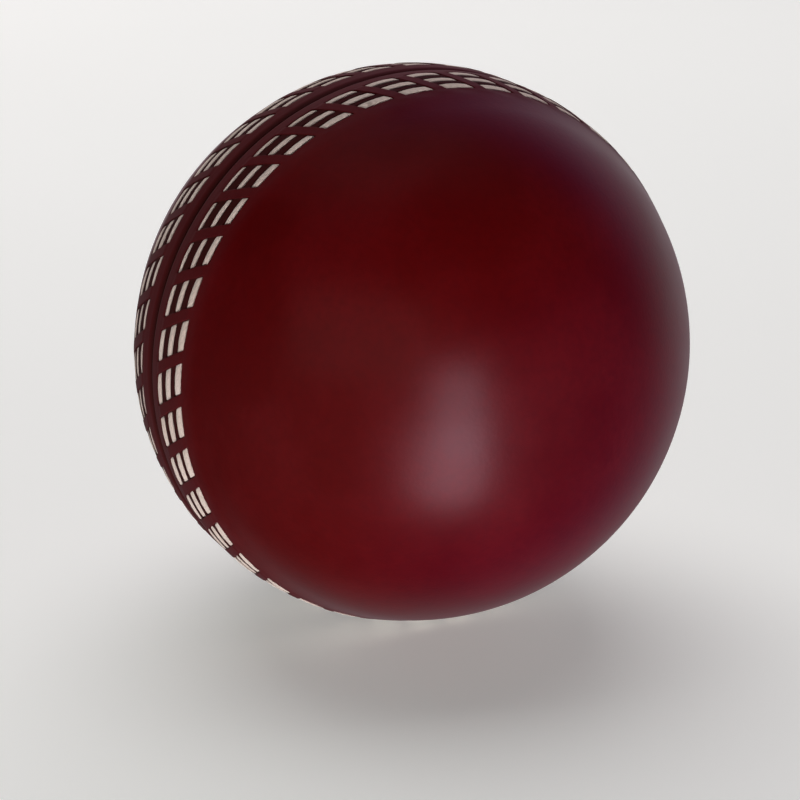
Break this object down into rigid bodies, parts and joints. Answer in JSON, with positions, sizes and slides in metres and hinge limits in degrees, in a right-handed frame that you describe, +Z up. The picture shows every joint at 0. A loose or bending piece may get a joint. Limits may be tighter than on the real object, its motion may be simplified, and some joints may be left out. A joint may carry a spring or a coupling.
{
  "type": "cricket ball",
  "caption": "Two-piece leather cricket ball: stitched leather cups with a raised seam over a wound core of yarn and cork strips round a hard nucleus.",
  "frame": {"origin": "centre of the ball", "axes": "+Y along the seam axis, from the front leather cup to the back one; the seam lies round the XZ plane; +Z up"},
  "size_m": [0.0732, 0.072, 0.0732],
  "materials": {
    "leather": "polished dark oxblood, smooth satin gloss",
    "thread": "waxed off-white linen thread, matt",
    "yarn": "undyed worsted yarn, matt",
    "cork": "natural cork strip, matt",
    "nucleus": "moulded cork and rubber, matt"
  },
  "bodies": {
    "root": {"nucleus": "nucleus", "yarn_winding_1": "yarn", "cork_layer_1_strip_1": "cork", "cork_layer_1_strip_2": "cork", "cork_layer_1_strip_3": "cork", "cork_layer_1_strip_4": "cork", "yarn_winding_2": "yarn", "cork_layer_2_strip_1": "cork", "cork_layer_2_strip_2": "cork", "cork_layer_2_strip_3": "cork", "cork_layer_2_strip_4": "cork", "yarn_winding_3": "yarn", "cork_layer_3_strip_1": "cork", "cork_layer_3_strip_2": "cork", "cork_layer_3_strip_3": "cork", "cork_layer_3_strip_4": "cork", "yarn_winding_4": "yarn", "front_leather_cup": "leather", "back_leather_cup": "leather", "front_outer_thread": "thread", "front_middle_thread": "thread", "back_outer_thread": "thread", "back_middle_thread": "thread", "closing_thread_a": "thread", "closing_thread_b": "thread"}
  },
  "joints": []
}
